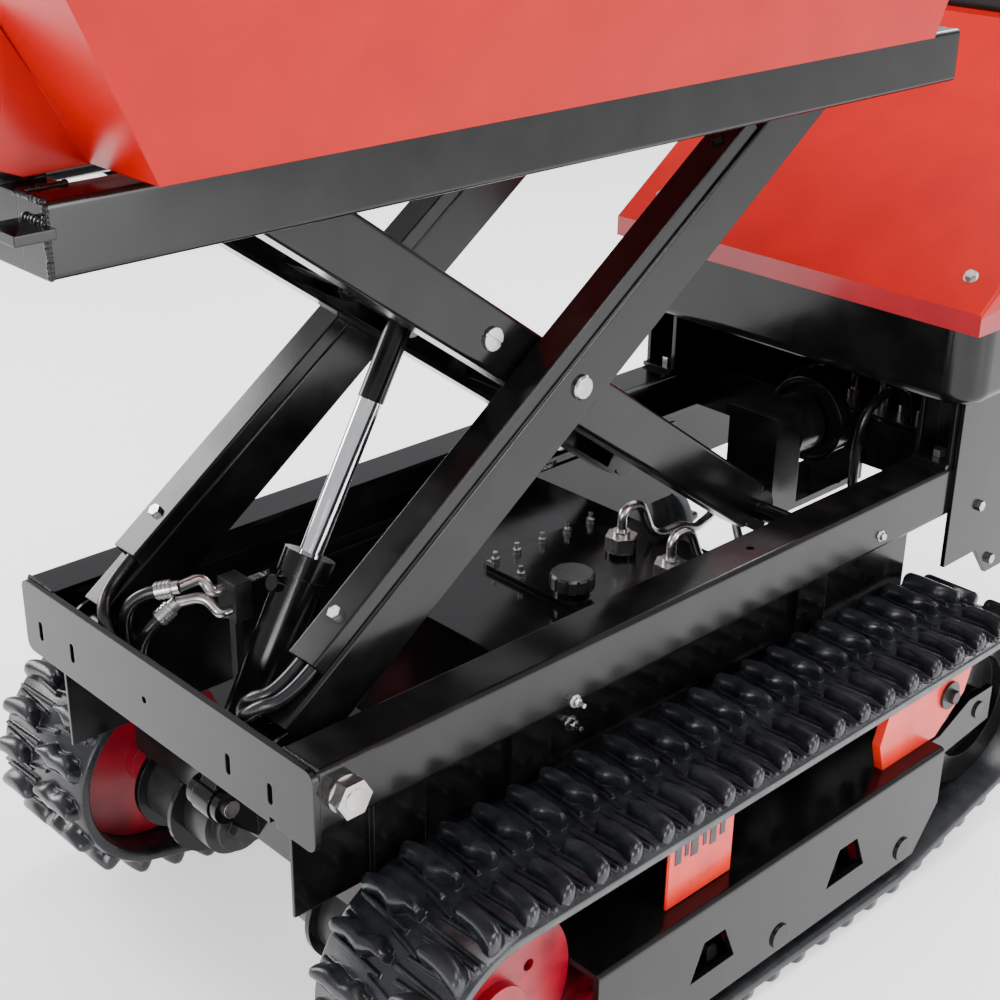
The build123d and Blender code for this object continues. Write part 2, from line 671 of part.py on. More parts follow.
def skip():
    """The tipping skip with a rolled rim, hinge arms at the front and the cylinder's lugs underneath."""
    top = skip_floor + skip_depth
    body = skip_shell(0, skip_floor, top) - skip_shell(skip_wall, skip_floor + skip_wall, top + 1)
    rim = block((-skip_top_half - 14, skip_top_half + 14), (skip_top_front - 14, skip_top_rear + 14),
                (top - 20, top))
    rim -= block((-skip_top_half + 2, skip_top_half - 2), (skip_top_front + 2, skip_top_rear - 2),
                 (top - 20, top))
    body += rim
    hinge = (skip_hinge_y, upper_line + skip_hinge_rise)
    for side in (1, -1):
        limits = sorted((side * 162.0, side * 172.0))
        lean = (top - skip_floor) / (skip_floor_front - skip_top_front)
        wall_z = skip_floor + (skip_floor_front - hinge[0]) * lean
        outline = [(hinge[0] - 16, hinge[1] - 6), (hinge[0] + 10, hinge[1] - 16),
                   (skip_floor_front + 70, skip_floor), (skip_floor_front, skip_floor + 3),
                   (hinge[0] - 10, wall_z + 14)]
        arm = plate_x(outline, limits)
        pin_x = sorted((side * 146.0, side * 172.0))
        body += arm + bar_x(10, pin_x, *hinge)
        ear = sorted((side * 15.5, side * 23.5))
        lug = block(ear, (tip_pin[0] - 22, tip_pin[0] + 22), (upper_line - 6, skip_floor + 1))
        body += lug + bar_x(9, ear, tip_pin[0], upper_line + tip_pin[1])
    return body


def tip_barrel():
    start = (tip_base[0], upper_line + tip_base[1])
    end = (tip_pin[0], upper_line + tip_pin[1])
    body = bar_y(tip_barrel_radius, 0, (22, tip_barrel_length), 0)
    body += bar_x(19, (-15, 15), 0, 0) + block((-13, 13), (0, 24), (-13, 13))
    body += bar_x(9, (-24, 24), 0, 0)
    body -= bar_y(tip_rod_radius + running_gap, 0, (40, tip_barrel_length), 0)
    return along(start, end, body)


def tip_rod():
    start = (tip_base[0], upper_line + tip_base[1])
    end = (tip_pin[0], upper_line + tip_pin[1])
    length = hypot(end[0] - start[0], end[1] - start[1])
    body = bar_y(tip_rod_radius, 0, (60, length - 10), 0)
    return along(start, end, body + bar_x(15, (-15, 15), length, 0))


# ---- oil tank, pump and pipes ----
def oil_tank():
    """The tank hung between the rails on two angles, and its bolted cover with the filler neck."""
    wall = rail_inner_x - 10
    tank = block((-wall, wall), (tank_front, tank_rear), (tank_bottom, tank_top))
    tank = fillet(tank.edges().filter_by(Axis.Y).group_by(Axis.Z)[0], 25)
    for side in (1, -1):
        post = sorted((side * (wall - 8), side * wall))
        shelf = sorted((side * (wall - 8), side * (wall + 30)))
        tank += block(post, (tank_front, tank_rear), (tank_top, deck_height - rail_height))
        tank += block(shelf, (tank_front, tank_rear), (deck_height - rail_height - 8, deck_height - rail_height))
    tank -= block((-wall + 8, wall - 8), (tank_front + 4, tank_rear - 4), (tank_bottom + 4, tank_top - 4))
    cover = block((-40, 186), (495, 690), (tank_top, tank_top + tank_cover_thickness))
    cover = fillet(cover.edges().filter_by(Axis.Z), 10)
    top = tank_top + tank_cover_thickness
    cover += bar_z(filler_neck_radius, *filler_place, (top, top + 12))
    for x, y in cover_stud_places:
        cover += hexagon_z(10, x, y, (top, top + 6))
        cover += bar_z(3, x, y, (top + 6, top + 14))
    mouth = bar_z(filler_neck_radius - 4, *filler_place, (tank_top - 10, top + 12))
    return [tank - mouth, cover - mouth]


def filler_cap():
    low = tank_top + tank_cover_thickness + 12 + seat_gap
    cap = bar_z(filler_cap_radius, *filler_place, (low, low + 18))
    cap = chamfer(cap.edges().filter_by(GeomType.CIRCLE).sort_by(Axis.Z)[-1], 3)
    for i in range(12):
        spot = (filler_place[0] + filler_cap_radius * cos(pi * i / 6),
                filler_place[1] + filler_cap_radius * sin(pi * i / 6))
        cap -= bar_z(2.2, *spot, (low, low + 18))
    return cap


def ferrule(start, end):
    """A crimped steel ferrule between the end of a hose and the start of its elbow."""
    run = Vector(*end) - Vector(*start)
    plane = Plane(origin=start, z_dir=run)
    body = extrude(plane * Circle(hose_radius + 2.5), run.length * 0.7, dir=run)
    return body + extrude(plane * Circle(hose_radius + 0.5), run.length, dir=run)


def oil_pipes():
    """Steel pipes from union nuts on the tank cover to the pump, and the two front elbows with their
    ferrules, bulkhead block and post."""
    base = tank_top + tank_cover_thickness
    solids = []
    for (x, y), end_x in zip(union_places, (pump_x - 20, pump_x + 20)):
        nut = hexagon_z(36, x, y, (base + 6, base + 26)) + bar_z(19, x, y, (base, base + 6))
        nut += bar_z(11, x, y, (base + 26, base + 32))
        points = [(x, y, base + 32), (x, y, base + 60), (x - 1, y + 34, base + 59), (x - 3, y + 63, 425.5),
                  (x - 4, y + 120, 425), (x - 4, y + 147, 411), (end_x + 12, 842, 410), (end_x, 872, 424),
                  (end_x, 904.7, 424)]
        solids.append(nut)
        solids.append(tube(points, pipe_radius))
    block_y = 128.0
    manifold = block((-66, -34), (block_y, block_y + 22), (478, 524))
    manifold += block((-56, -46), (block_y + 6, block_y + 16), (front_beam_z[1], 478))
    solids.append(manifold)
    for start, end, port in (((-90, 66, 518), (-72, 84, 524), (-56, block_y, 512)),
                             ((-86, 64, 486), (-80, 84, 502), (-43, block_y, 491))):
        solids.append(ferrule(start, end))
        bend = ((end[0] + port[0]) / 2 - 2, (end[1] + port[1]) / 2 + 3, end[2] + 5)
        before = (port[0], port[1] - 14, port[2])
        solids.append(tube([end, bend, before, (port[0], port[1] - 0.3, port[2])], pipe_radius))
    return solids


def pump():
    """The hydraulic pump with its pulley, on an arm from the rear cross plate."""
    body = bar_y(42, pump_x, (960, 1010), pump_z)
    body += block((pump_x - 40, pump_x + 40), (905, 960), (408, 542))
    body += bar_y(16, pump_x, (1010, 1030), pump_z)
    pulley = bar_y(60, pump_x, (1022, 1046), pump_z) - bar_y(54, pump_x, (1022, 1027), pump_z)
    base = block((pump_x - 40, pump_x + 40), (905, frame_length), (398, 408))
    base += block((pump_x - 40, pump_x + 40), (frame_length - 8, frame_length), (408, 440))
    return body + pulley + base


def valve_block():
    """The spool valve block on the shelf with three rods that run up to the levers."""
    top = 480.0
    body = block((-70, 150), (1150, 1210), (436, top))
    for x in (-40, 10, 60, 100, 130):
        body += bar_z(7, x, 1190, (top, tray_bottom - seat_gap))
        body += bar_z(12, x, 1190, (top, top + 14))
    return body


def lift_hoses():
    """Two hoses at the foot of each hose cover, led behind the front plate to the front beam."""
    start = (-arm_half + 77.5, arm_depth / 2 + hose_radius + 0.4)
    turn = radians(arm_angle)
    foot = (centre_pivot[0] + start[0] * cos(turn) - start[1] * sin(turn),
            centre_pivot[1] + start[0] * sin(turn) + start[1] * cos(turn))
    knee = (foot[0] - 40 * cos(turn), foot[1] - 40 * sin(turn))
    end_z = front_beam_z[1] + seat_gap
    routes = [
        [(151.5, *foot), (151.0, *knee), (130, 28, 500), (102, 34, 468), (88, 60, 416),
         (80, 118, 350), (80, 118, end_z)],
        [(168.5, *foot), (168.0, *knee), (148, 20, 500), (119, 17, 468), (110, 34, 410),
         (108, 118, 346), (108, 118, end_z)],
        [(-151.5, *foot), (-151.0, *knee), (-124, 17, 494), (-98, 16, 458), (-58, 22, 412),
         (-46, 118, 345), (-46, 118, end_z)]]
    return [tube(route, hose_radius) for route in routes]


def pump_hoses():
    """The two front hoses below their steel ferrules, and two hoses from the valve block."""
    end_z = front_beam_z[1] + seat_gap
    routes = [
        [(-90.2, 65.8, 517.93), (-117, 39, 509), (-114, 42, 430), (-118, 118, 352), (-118, 118, end_z)],
        [(-86.1, 63.7, 485.8), (-94.1, 37, 464.4), (-96, 52, 410), (-92, 118, 350), (-92, 118, end_z)]]
    for x in (-20, 118):
        routes.append([(x, 1165, 480.3), (x, 1165, 522), (x - 4, 1112, 540), (x - 14, 1064, 500),
                       (x - 16, 1072, 400)])
    return [tube(route, hose_radius) for route in routes]


# ---- engine end ----
def engine_tray():
    """The rounded tray under the bonnet: four walls and a floor."""
    body = block((-tray_half, tray_half), (tray_front, tray_rear), (tray_bottom, tray_top))
    body = fillet(body.edges().filter_by(Axis.Z), 45)
    body = fillet(body.faces().sort_by(Axis.Z)[0].edges(), 18)
    inner = block((-tray_half + tray_wall, tray_half - tray_wall),
                  (tray_front + tray_wall, tray_rear - tray_wall), (tray_bottom + tray_wall, tray_top))
    inner = fillet(inner.edges().filter_by(Axis.Z), 41)
    inner = fillet(inner.faces().sort_by(Axis.Z)[0].edges(), 14)
    return body - inner


def cowl():
    """The sheet-metal bonnet: a lip, a sloping front, sides, and an open underside."""
    low = tray_top + seat_gap
    front = tray_front - 9
    lip = low + cowl_lip
    slope = tan(radians(cowl_slope))
    back = tray_rear
    crest = front + (cowl_top - lip) / slope
    outline = [(front, low), (front, lip), (crest, cowl_top), (back, cowl_top), (back, low)]
    skin = 3.0
    inner = [(front + skin, low), (front + skin, lip - 1), (crest + 1.5, cowl_top - skin),
             (back - skin, cowl_top - skin), (back - skin, low)]
    body = plate_x(outline, (-cowl_half, cowl_half))
    body = fillet(body.edges().filter_by(GeomType.LINE).group_by(Axis.X)[-1].filter_by(
        lambda edge: edge.center().Z > lip + 5 and edge.center().Z < cowl_top - 5), 4)
    body -= plate_x(inner, (-cowl_half + skin, cowl_half - skin))
    for i in range(5):
        y = crest - 60 + 36 * i
        body -= block((-cowl_half, -cowl_half + skin), (y, y + 12), (low + 60, low + 170))
        body -= block((cowl_half - skin, cowl_half), (y, y + 12), (low + 60, low + 170))
    flange = block((-cowl_half + 1, cowl_half - 1), (front + 1, back - 1), (low, low + 3))
    flange -= block((-tray_half + 12, tray_half - 12), (tray_front + 12, back - 3), (low, low + 3))
    return body + flange


def engine():
    """The petrol engine: crankcase, cylinder with fins, fan housing and mounting feet."""
    low = tray_bottom + tray_wall
    case = block((-110, 110), (1190, 1380), (low + 14, low + 175))
    case = fillet(case.edges(), 14)
    feet = block((-120, 120), (1200, 1225), (low, low + 16)) + block((-120, 120), (1345, 1370), (low, low + 16))
    body = case + feet
    for i in range(7):
        z = low + 178 + 14 * i
        body += block((-70, 70), (1225, 1345), (z, z + 7))
    body += block((-52, 52), (1243, 1327), (low + 170, low + 280))
    return body + bar_y(95, 0, (1380, 1420), low + 130)


def muffler():
    body = block((130, 225), (1290, 1420), (800, 880))
    body = fillet(body.edges().filter_by(Axis.Y), 25)
    inlet = bar_x(14, (70, 130), 1310, 840)
    outlet = bar_x(15, (225, cowl_half - 6), 1370, 842)
    return body + inlet + outlet


def fuel_tank():
    tank = block((-270, -130), (1320, 1455), (760, 890))
    tank = fillet(tank.edges(), 20)
    stay = block((-210, -190), (1380, 1400), (tray_bottom + tray_wall, 765))
    return tank + stay + bar_z(24, -200, 1390, (885, 908))


def console():
    """The operator's console behind the bonnet, with a sloping top that carries the levers."""
    outline = [(tray_rear + seat_gap, 640), (tray_rear + 70, 640), (tray_rear + 95, 1000),
               (tray_rear + 40, 1060), (tray_rear - 30, 1060), (tray_rear - 30, cowl_top + seat_gap),
               (tray_rear + seat_gap, cowl_top + seat_gap)]
    body = plate_x(outline, (-210, 210))
    body = fillet(body.edges().filter_by(Axis.X).sort_by(Axis.Z)[-2:], 12)
    hollow = [(tray_rear + 4, 640), (tray_rear + 66, 640), (tray_rear + 91, 998), (tray_rear + 38, 1056),
              (tray_rear - 26, 1056), (tray_rear - 26, cowl_top + 4), (tray_rear + 4, cowl_top + 4)]
    body -= plate_x(hollow, (-206, 206))
    foot = block((-200, 200), (tray_rear - 30, tray_rear + 60), (tray_bottom - 6, tray_bottom))
    stand = block((-200, 200), (tray_rear + 1, tray_rear + 7), (tray_bottom, 660))
    return body + foot + stand


def handlebars():
    """Two bent tubes clamped to the console's sides, each with a rubber grip."""
    solids = []
    for side in (1, -1):
        x = side * (210 + 14)
        points = [(x, tray_rear + 30, 860), (x, tray_rear + 36, 960), (x + side * 12, tray_rear + 60, 1030),
                  (x + side * 20, tray_rear + 110, 1062)]
        clamp = block(sorted((side * 210, side * 240)), (tray_rear + 18, tray_rear + 46), (885, 925))
        solids.append(clamp + tube(points, 13.0))
    return solids


def drive_lever(side):
    """A steering lever in front of each grip, hinged on the console's side."""
    x = side * 186.0
    pivot = (tray_rear + 62, 1064)
    limits = sorted((x - 6, x + 6))
    body = bar_x(11, limits, *pivot)
    lean = 56.0
    handle = block((x - 6, x + 6), (0, 100), (-5.5, 5.5))
    knob = Pos(x, 104, 0) * Sphere(14)
    body += Pos(0, *pivot) * Rot(lean, 0, 0) * (handle + knob)
    return body - bar_x(5 + running_gap, limits, *pivot)


def spool_lever(x):
    """An upright lever with a ball knob in a slot of the console's top."""
    pivot = (tray_rear + 12, 1074)
    body = bar_x(10, (x - 6, x + 6), *pivot)
    body += bar_z(5, x, pivot[0], (pivot[1], pivot[1] + 95))
    body += Pos(x, pivot[0], pivot[1] + 104) * Sphere(16)
    return body - bar_x(5 + running_gap, (x - 6, x + 6), *pivot)


def lever_mounts():
    """Small clevis lugs and pins on the console that carry the levers."""
    solids = []
    for x, y in ((186, 62), (-186, 62), (40, 12), (100, 12), (-90, 12)):
        pivot_z = 1064.0 if abs(x) == 186 else 1074.0
        place = tray_rear + y
        pin = bar_x(5, (x - 14, x + 14), place, pivot_z)
        low = 1060.0 if abs(x) != 186 else 1030.0
        for edge in (-12, 8):
            pin += block((x + edge, x + edge + 4), (place - 9, place + 9), (low, pivot_z + 9))
        solids.append(pin)
    return solids


def frame_bolts():
    """The big pivot bolts, the lift cylinder's base pin, and the bolts of the brackets and panels."""
    solids = []
    half = frame_width / 2
    inside = arm_outer_x - arm_width - 12
    for side in (1, -1):
        shank = bar_x(pivot_radius, sorted((side * inside, side * (half + 18))), *front_pivot)
        washer = bar_x(20, sorted((side * half, side * (half + 2.5))), *front_pivot)
        head = hexagon_x(36, sorted((side * (half + 2.5), side * (half + 17))), *front_pivot)
        spacer = bar_x(16, sorted((side * (arm_outer_x + 2), side * (half - rail_wall))), *front_pivot)
        nut = hexagon_x(36, sorted((side * inside, side * (arm_outer_x - arm_width - 1))), *front_pivot)
        solids.append(shank + head + washer + spacer + nut)
        solids.append(hexagon_z(16, side * 237, 1062, (deck_height + 6, deck_height + 15)))
        for y, z in ((1122, 416), (1169, 321)):
            limits = sorted((side * (panel_x + panel_wall), side * (panel_x + panel_wall + 6)))
            solids.append(hexagon_x(13, limits, y, z))
    solids.append(bar_x(lift_pin_radius, (-31, 31), *lift_base))
    return solids


# ---- write every part ----
save("front_plate", front_plate())
save("rail_left", rail())
save("rail_right", mirrored(rail()))
save("crossbeams", crossbeams(), pair(side_plate()))
save("rear_panels", rear_panels())
save("tray_brackets", pair(tray_bracket(237)))
save("frame_bolts", frame_bolts())
save("track_frame_left", track_frame())
save("track_frame_right", mirrored(track_frame()))
save("track_tensioners", pair(tensioner()))
save("track_guides", pair(track_guide()))
save("track_left", track(1))
save("track_right", track(-1))
save("travel_motors", pair(travel_motor()))
save("drive_wheel_left", drive_wheel())
save("drive_wheel_right", mirrored(drive_wheel()))
save("idler_left", idler())
save("idler_right", mirrored(idler()))
for number, place in enumerate(track_roller_places, start=1):
    save(f"track_roller_left_{number}", track_roller(place))
    save(f"track_roller_right_{number}", mirrored(track_roller(place)))
save("outer_arm_left", on_arm(outer_arm(), arm_angle))
save("outer_arm_right", mirrored(on_arm(outer_arm(), arm_angle)))
save("hose_covers", pair(on_arm(hose_cover(), arm_angle)))
save("centre_pins", pair(on_arm(centre_pin(), arm_angle)))
save("inner_arm_left", on_arm(inner_arm(), -arm_angle))
save("inner_arm_right", mirrored(on_arm(inner_arm(), -arm_angle)))
save("inner_crossbars", [on_arm(piece, -arm_angle) for piece in inner_crossbar()])
save("lower_rollers", pair(lower_roller()))
save("upper_rollers", pair(upper_roller()))
save("lift_barrel", lift_barrel())
save("lift_rod", lift_rod())
save("upper_rail_left", upper_rail())
save("upper_rail_right", mirrored(upper_rail()))
save("upper_crossbars", upper_crossbars())
save("skip", skip())
save("tip_barrel", tip_barrel())
save("tip_rod", tip_rod())
save("oil_tank", oil_tank())
save("filler_cap", filler_cap())
save("oil_pipes", oil_pipes())
save("pump", pump())
save("valve_block", valve_block())
save("lift_hoses", lift_hoses())
save("pump_hoses", pump_hoses())
save("engine_tray", engine_tray())
save("cowl", cowl())
save("engine", engine())
save("muffler", muffler())
save("fuel_tank", fuel_tank())
save("console", console(), lever_mounts())
save("handlebars", handlebars())
save("lever_drive_left", drive_lever(1))
save("lever_drive_right", drive_lever(-1))
save("lever_lift", spool_lever(40.0))
save("lever_tip", spool_lever(100.0))
save("lever_throttle", spool_lever(-90.0))
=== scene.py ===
import bpy
import bmesh
import json
import math
import random
from mathutils import Matrix, Vector


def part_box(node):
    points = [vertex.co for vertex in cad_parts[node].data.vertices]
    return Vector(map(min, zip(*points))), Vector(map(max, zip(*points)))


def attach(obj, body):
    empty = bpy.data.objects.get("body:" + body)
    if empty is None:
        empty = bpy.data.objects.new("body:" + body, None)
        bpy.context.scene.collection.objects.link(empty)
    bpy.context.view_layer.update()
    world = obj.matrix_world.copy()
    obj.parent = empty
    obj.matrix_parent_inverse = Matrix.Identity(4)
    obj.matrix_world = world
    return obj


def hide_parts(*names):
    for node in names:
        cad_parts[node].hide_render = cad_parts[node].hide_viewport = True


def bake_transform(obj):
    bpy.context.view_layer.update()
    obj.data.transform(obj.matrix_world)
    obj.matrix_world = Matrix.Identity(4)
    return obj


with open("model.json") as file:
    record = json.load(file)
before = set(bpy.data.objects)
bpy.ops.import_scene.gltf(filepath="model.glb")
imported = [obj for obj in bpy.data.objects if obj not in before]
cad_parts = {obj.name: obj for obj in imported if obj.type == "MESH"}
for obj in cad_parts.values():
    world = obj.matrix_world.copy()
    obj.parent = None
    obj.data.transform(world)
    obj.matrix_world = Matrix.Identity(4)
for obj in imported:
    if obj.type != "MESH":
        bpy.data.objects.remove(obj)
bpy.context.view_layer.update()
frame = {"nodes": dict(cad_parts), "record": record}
nodes = frame["nodes"]
random.seed(7)
MM = 0.001
MID = 637.0                 # the machine's middle, back from the front plate


def at(x, y, z):
    """A point given in the modelling frame, in millimetres, as a place in the row frame."""
    return Vector((x * MM, (y - MID) * MM, z * MM))


# ---------------------------------------------------------------- materials
def material(name, base, dark, rough, metal=0.0, grain=60.0, spread=0.08, bump=0.05, bump_scale=400.0,
             coat=0.0, edge=0.0008, stretch=(1, 1, 1), wear=None, specular=0.5):
    """A procedural surface: colour mottling, uneven gloss, fine relief and softened edges."""
    m = bpy.data.materials.new(name)
    m.use_nodes = True
    nt = m.node_tree
    shader = nt.nodes["Principled BSDF"]
    shader.inputs["Metallic"].default_value = metal
    shader.inputs["Coat Weight"].default_value = coat
    shader.inputs["Coat Roughness"].default_value = 0.12
    shader.inputs["Specular IOR Level"].default_value = specular
    new = nt.nodes.new
    link = nt.links.new
    place = new("ShaderNodeTexCoord")
    scale = new("ShaderNodeMapping")
    scale.inputs["Scale"].default_value = stretch
    link(place.outputs["Object"], scale.inputs["Vector"])
    mottle = new("ShaderNodeTexNoise")
    mottle.inputs["Scale"].default_value = grain
    mottle.inputs["Detail"].default_value = 6.0
    link(scale.outputs["Vector"], mottle.inputs["Vector"])
    ramp = new("ShaderNodeValToRGB")
    ramp.color_ramp.elements[0].position = 0.35
    ramp.color_ramp.elements[1].position = 0.68
    ramp.color_ramp.elements[0].color = (*dark, 1)
    ramp.color_ramp.elements[1].color = (*base, 1)
    link(mottle.outputs["Fac"], ramp.inputs["Fac"])
    colour = ramp.outputs["Color"]
    if wear:
        dust = new("ShaderNodeTexNoise")
        dust.inputs["Scale"].default_value = 18.0
        dust.inputs["Detail"].default_value = 8.0
        link(place.outputs["Object"], dust.inputs["Vector"])
        share = new("ShaderNodeMapRange")
        share.inputs["From Min"].default_value = 0.5
        share.inputs["From Max"].default_value = 0.72
        share.inputs["To Max"].default_value = wear[1]
        link(dust.outputs["Fac"], share.inputs["Value"])
        mix = new("ShaderNodeMix")
        mix.data_type = "RGBA"
        mix.inputs["B"].default_value = (*wear[0], 1)
        link(share.outputs["Result"], mix.inputs["Factor"])
        link(colour, mix.inputs["A"])
        colour = mix.outputs["Result"]
    link(colour, shader.inputs["Base Color"])
    gloss = new("ShaderNodeTexNoise")
    gloss.inputs["Scale"].default_value = grain * 0.45
    gloss.inputs["Detail"].default_value = 4.0
    link(scale.outputs["Vector"], gloss.inputs["Vector"])
    limits = new("ShaderNodeMapRange")
    limits.inputs["From Min"].default_value = 0.3
    limits.inputs["From Max"].default_value = 0.7
    limits.inputs["To Min"].default_value = max(0.02, rough - spread)
    limits.inputs["To Max"].default_value = rough + spread
    link(gloss.outputs["Fac"], limits.inputs["Value"])
    link(limits.outputs["Result"], shader.inputs["Roughness"])
    soft = new("ShaderNodeBevel")
    soft.samples = 4
    soft.inputs["Radius"].default_value = edge
    relief = new("ShaderNodeTexNoise")
    relief.inputs["Scale"].default_value = bump_scale
    relief.inputs["Detail"].default_value = 3.0
    link(scale.outputs["Vector"], relief.inputs["Vector"])
    hills = new("ShaderNodeBump")
    hills.inputs["Strength"].default_value = bump
    hills.inputs["Distance"].default_value = 0.0006
    link(relief.outputs["Fac"], hills.inputs["Height"])
    link(soft.outputs["Normal"], hills.inputs["Normal"])
    link(hills.outputs["Normal"], shader.inputs["Normal"])
    return m


black = material("gloss_black", (0.0045, 0.0042, 0.0043), (0.0022, 0.0021, 0.0022), 0.17, grain=30,
                 spread=0.06, bump=0.05, bump_scale=170, coat=0.06, edge=0.0016,
                 wear=((0.014, 0.012, 0.0115), 0.4), specular=0.3)
red = material("red_enamel", (0.44, 0.002, 0.0006), (0.39, 0.0016, 0.0005), 0.34, grain=14, spread=0.05,
               bump=0.06, bump_scale=230, coat=0.04, edge=0.0015, wear=((0.36, 0.0015, 0.0005), 0.3),
               specular=0.18)
lip_red = material("shaded_red", (0.36, 0.004, 0.012), (0.29, 0.003, 0.009), 0.36, grain=14, bump=0.06,
                   bump_scale=230, coat=0.2)
orange = material("bracket_orange", (0.88, 0.026, 0.006), (0.74, 0.018, 0.005), 0.36, grain=26, bump=0.08,
                  bump_scale=260, coat=0.2, edge=0.001, wear=((0.42, 0.012, 0.02), 0.5))
wheel_red = material("wheel_red", (0.42, 0.003, 0.02), (0.26, 0.002, 0.013), 0.35, grain=30, bump=0.1,
                     bump_scale=260, edge=0.001, wear=((0.06, 0.004, 0.008), 0.6))
rubber = material("track_rubber", (0.013, 0.0145, 0.018), (0.006, 0.0065, 0.0075), 0.27, grain=70,
                  spread=0.09, bump=0.3, bump_scale=420, edge=0.0022, wear=((0.03, 0.034, 0.04), 0.5))
hose_skin = material("hose_rubber", (0.009, 0.0095, 0.011), (0.004, 0.004, 0.005), 0.26, grain=70, spread=0.08,
                     bump=0.16, bump_scale=600, edge=0.0005, wear=((0.03, 0.03, 0.034), 0.35))
zinc = material("zinc_steel", (0.6, 0.59, 0.57), (0.42, 0.41, 0.4), 0.28, metal=1.0, grain=45, spread=0.1,
                bump=0.07, bump_scale=420, edge=0.0008, wear=((0.3, 0.26, 0.24), 0.4))
pipe_steel = material("pipe_steel", (0.62, 0.55, 0.52), (0.44, 0.38, 0.36), 0.2, metal=1.0, grain=40,
                      spread=0.08, bump=0.05, bump_scale=500, edge=0.0005, wear=((0.34, 0.24, 0.2), 0.4))
chrome = material("rod_chrome", (0.82, 0.82, 0.84), (0.72, 0.72, 0.75), 0.09, metal=1.0, grain=90, spread=0.05,
                  bump=0.03, bump_scale=700, edge=0.0006, stretch=(1, 1, 0.06))
casting = material("cast_grey", (0.012, 0.012, 0.0125), (0.006, 0.006, 0.0062), 0.36, metal=0.0, grain=80,
                   bump=0.3, bump_scale=300, edge=0.0015, wear=((0.03, 0.029, 0.028), 0.4))
exhaust = material("exhaust_steel", (0.3, 0.28, 0.26), (0.16, 0.12, 0.1), 0.45, metal=0.9, grain=24,
                   bump=0.1, wear=((0.28, 0.13, 0.06), 0.5))
plastic = material("black_plastic", (0.02, 0.02, 0.021), (0.013, 0.013, 0.014), 0.32, grain=90, bump=0.14,
                   bump_scale=900, edge=0.0012)
tank_plastic = material("tank_plastic", (0.5, 0.5, 0.47), (0.42, 0.42, 0.39), 0.5, grain=40, bump=0.12,
                        bump_scale=500, edge=0.002)
floor_skin = material("studio_floor", (0.93, 0.93, 0.93), (0.9, 0.9, 0.9), 0.6, grain=4, bump=0.02,
                      bump_scale=60)

by_slot = {"black_paint": black, "red_paint": red, "track_rubber": rubber, "hose_rubber": hose_skin,
           "zinc_steel": zinc, "chrome": chrome, "roller_steel": zinc, "wheel_red": wheel_red,
           "cast_grey": casting, "exhaust": exhaust, "black_plastic": plastic, "fuel_plastic": tank_plastic}
slot_of = {p["node"]: p["material_slot"] for p in frame["record"]["subparts"]}
for name, thing in nodes.items():
    thing.data.materials.clear()
    thing.data.materials.append(by_slot[slot_of[name]])
nodes["track_guides"].data.materials[0] = orange


def repaint(node, skin, low, high):
    """Gives the faces of a CAD node whose centres lie between two corners another finish."""
    data = nodes[node].data
    data.materials.append(skin)
    number = len(data.materials) - 1
    for face in data.polygons:
        c = face.center
        if all(low[i] <= c[i] <= high[i] for i in range(3)):
            face.material_index = number


# ---------------------------------------------------------------- mesh helpers
def finish_mesh(name, bm, skin, body, angle=35):
    """Turns a bmesh into a smooth-shaded piece with one finish, riding on a body if one is named."""
    data = bpy.data.meshes.new(name)
    bmesh.ops.recalc_face_normals(bm, faces=bm.faces)
    bm.to_mesh(data)
    bm.free()
    data.materials.append(skin)
    data.shade_smooth()
    data.set_sharp_from_angle(angle=math.radians(angle))
    thing = bpy.data.objects.new(name, data)
    bpy.context.collection.objects.link(thing)
    if body:
        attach(thing, body)
    return thing


def smooth_line(points):
    """Places along one smooth curve that has these points as its control points."""
    curve = bpy.data.curves.new("guide", "CURVE")
    curve.dimensions = "3D"
    curve.resolution_u = 12
    spline = curve.splines.new("NURBS")
    spline.points.add(len(points) - 1)
    for spot, p in zip(spline.points, points):
        spot.co = (*p, 1)
    spline.order_u = 3
    spline.use_endpoint_u = True
    thing = bpy.data.objects.new("guide", curve)
    bpy.context.collection.objects.link(thing)
    bpy.context.view_layer.update()
    line = bpy.data.meshes.new_from_object(thing.evaluated_get(bpy.context.evaluated_depsgraph_get()))
    spots = [v.co.copy() for v in line.vertices]
    bpy.data.objects.remove(thing)
    bpy.data.meshes.remove(line)
    return spots


def tube_mesh(bm, spots, radius, sides=24):
    """A round tube along some places."""
    heading = (spots[1] - spots[0]).normalized()
    side = heading.orthogonal().normalized()
    loops = []
    for i, p in enumerate(spots):
        ahead = spots[min(i + 1, len(spots) - 1)] - spots[max(i - 1, 0)]
        turn = heading.rotation_difference(ahead.normalized())
        side = (turn @ side).normalized()
        heading = ahead.normalized()
        up = heading.cross(side)
        loops.append([bm.verts.new(p + (side * math.cos(a) + up * math.sin(a)) * radius)
                      for a in (2 * math.pi * k / sides for k in range(sides))])
    for a, b in zip(loops, loops[1:]):
        for k in range(sides):
            bm.faces.new((a[k], a[(k + 1) % sides], b[(k + 1) % sides], b[k]))
    bm.faces.new(loops[0][::-1])
    bm.faces.new(loops[-1])


def beads(bm, start, end, radius, pitch):
    """A hand-laid weld: overlapping round drops along a line."""
    run = end - start
    count = max(2, int(run.length / pitch))
    for i in range(count + 1):
        spot = start + run * (i / count)
        stray = Vector((random.uniform(-1, 1), random.uniform(-1, 1), random.uniform(-1, 1)))
        spot = spot + stray * radius * 0.12
        size = radius * random.uniform(0.88, 1.12)
        bmesh.ops.create_icosphere(bm, subdivisions=2, radius=size, matrix=Matrix.Translation(spot))


